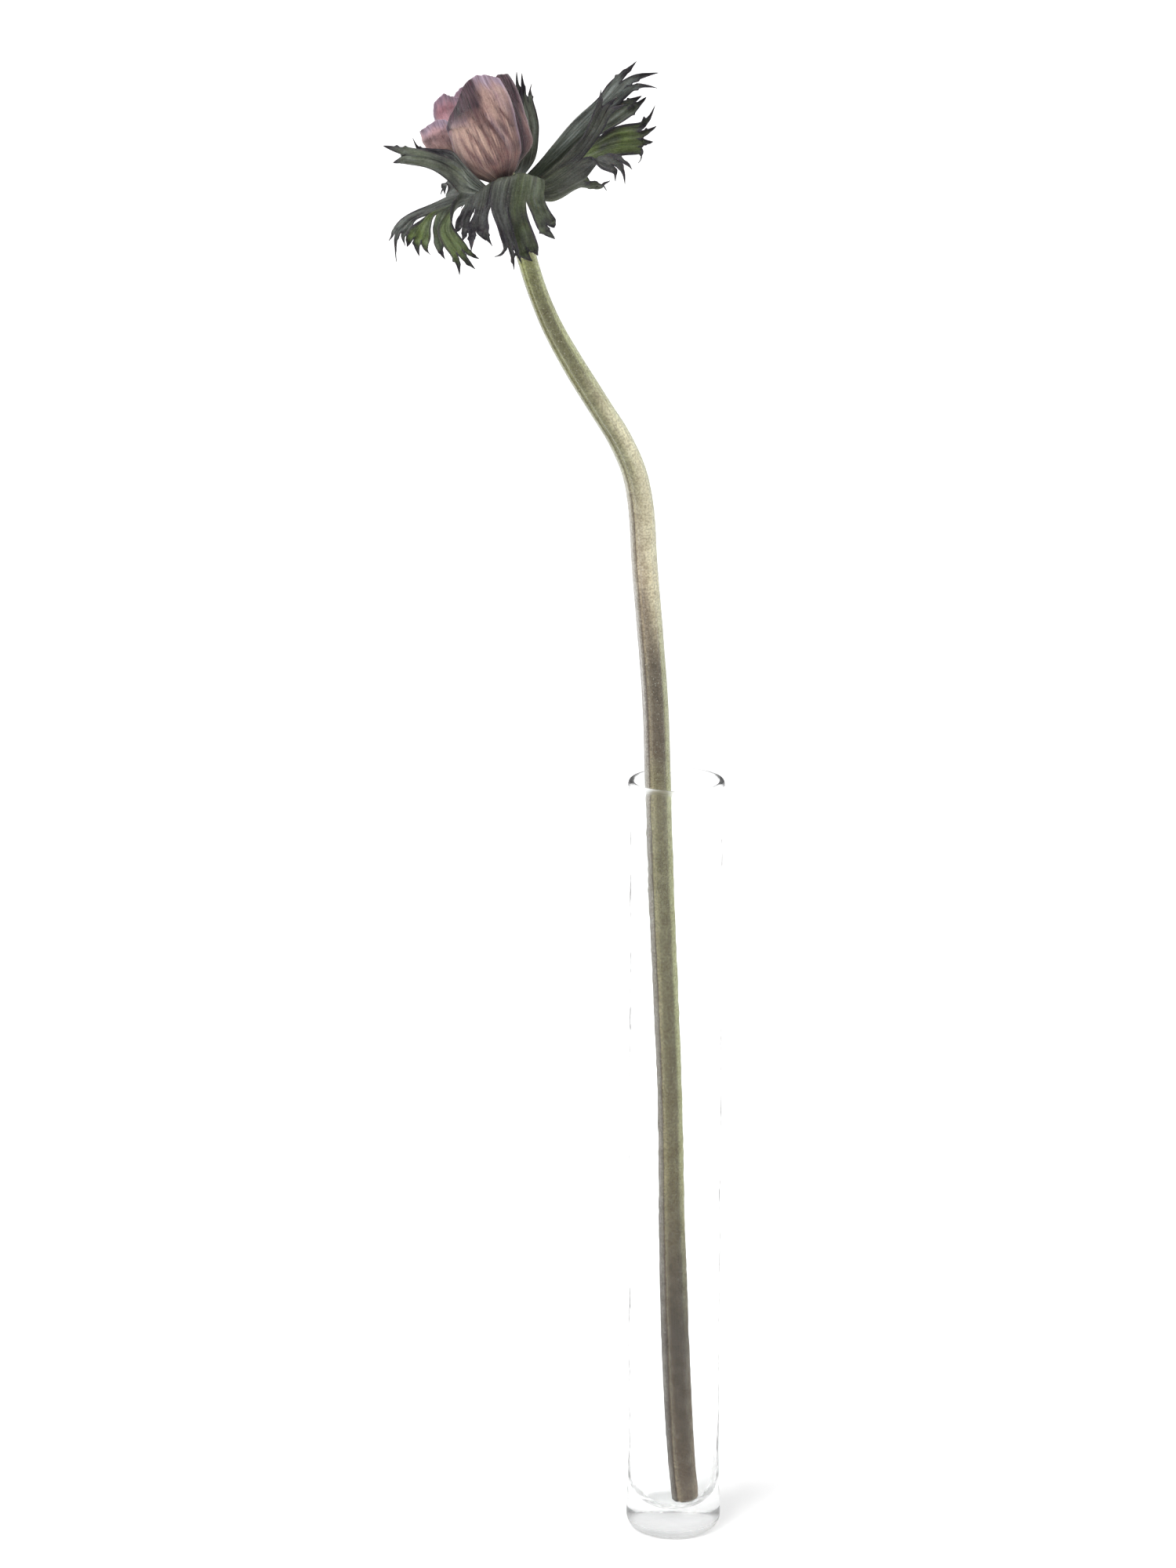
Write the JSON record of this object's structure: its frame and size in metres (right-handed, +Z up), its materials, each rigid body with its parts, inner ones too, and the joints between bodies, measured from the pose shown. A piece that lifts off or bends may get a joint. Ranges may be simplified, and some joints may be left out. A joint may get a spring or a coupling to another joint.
{
  "type": "cut anemone flower in a glass tube vase",
  "caption": "Half-closed anemone with deeply cut leafy bracts on a long bent stem, standing in a narrow clear glass tube vase.",
  "frame": {"origin": "centre of the glass tube's flat foot, on the surface it stands on", "axes": "+Z up along the tube, +X to the right as the bloom leans left, +Y away from the viewer"},
  "size_m": [0.086, 0.0343, 0.3894],
  "materials": {
    "clear_glass": "clear, smooth",
    "stem_green": "fleshy, finely furrowed, short down",
    "bract_leaf": "matte leaf, fine veins, dark tips",
    "petal_rose": "silky, fine dark veins, greyed edges",
    "centre_dark": "matte, powdery"
  },
  "bodies": {
    "root": {"vase": "clear_glass", "stem": "stem_green", "bract_front": "bract_leaf", "bract_left": "bract_leaf", "bract_right": "bract_leaf", "petal_front": "petal_rose", "petal_right": "petal_rose", "petal_back_right": "petal_rose", "petal_back": "petal_rose", "petal_back_left": "petal_rose", "petal_left": "petal_rose", "centre": "centre_dark"}
  },
  "joints": []
}
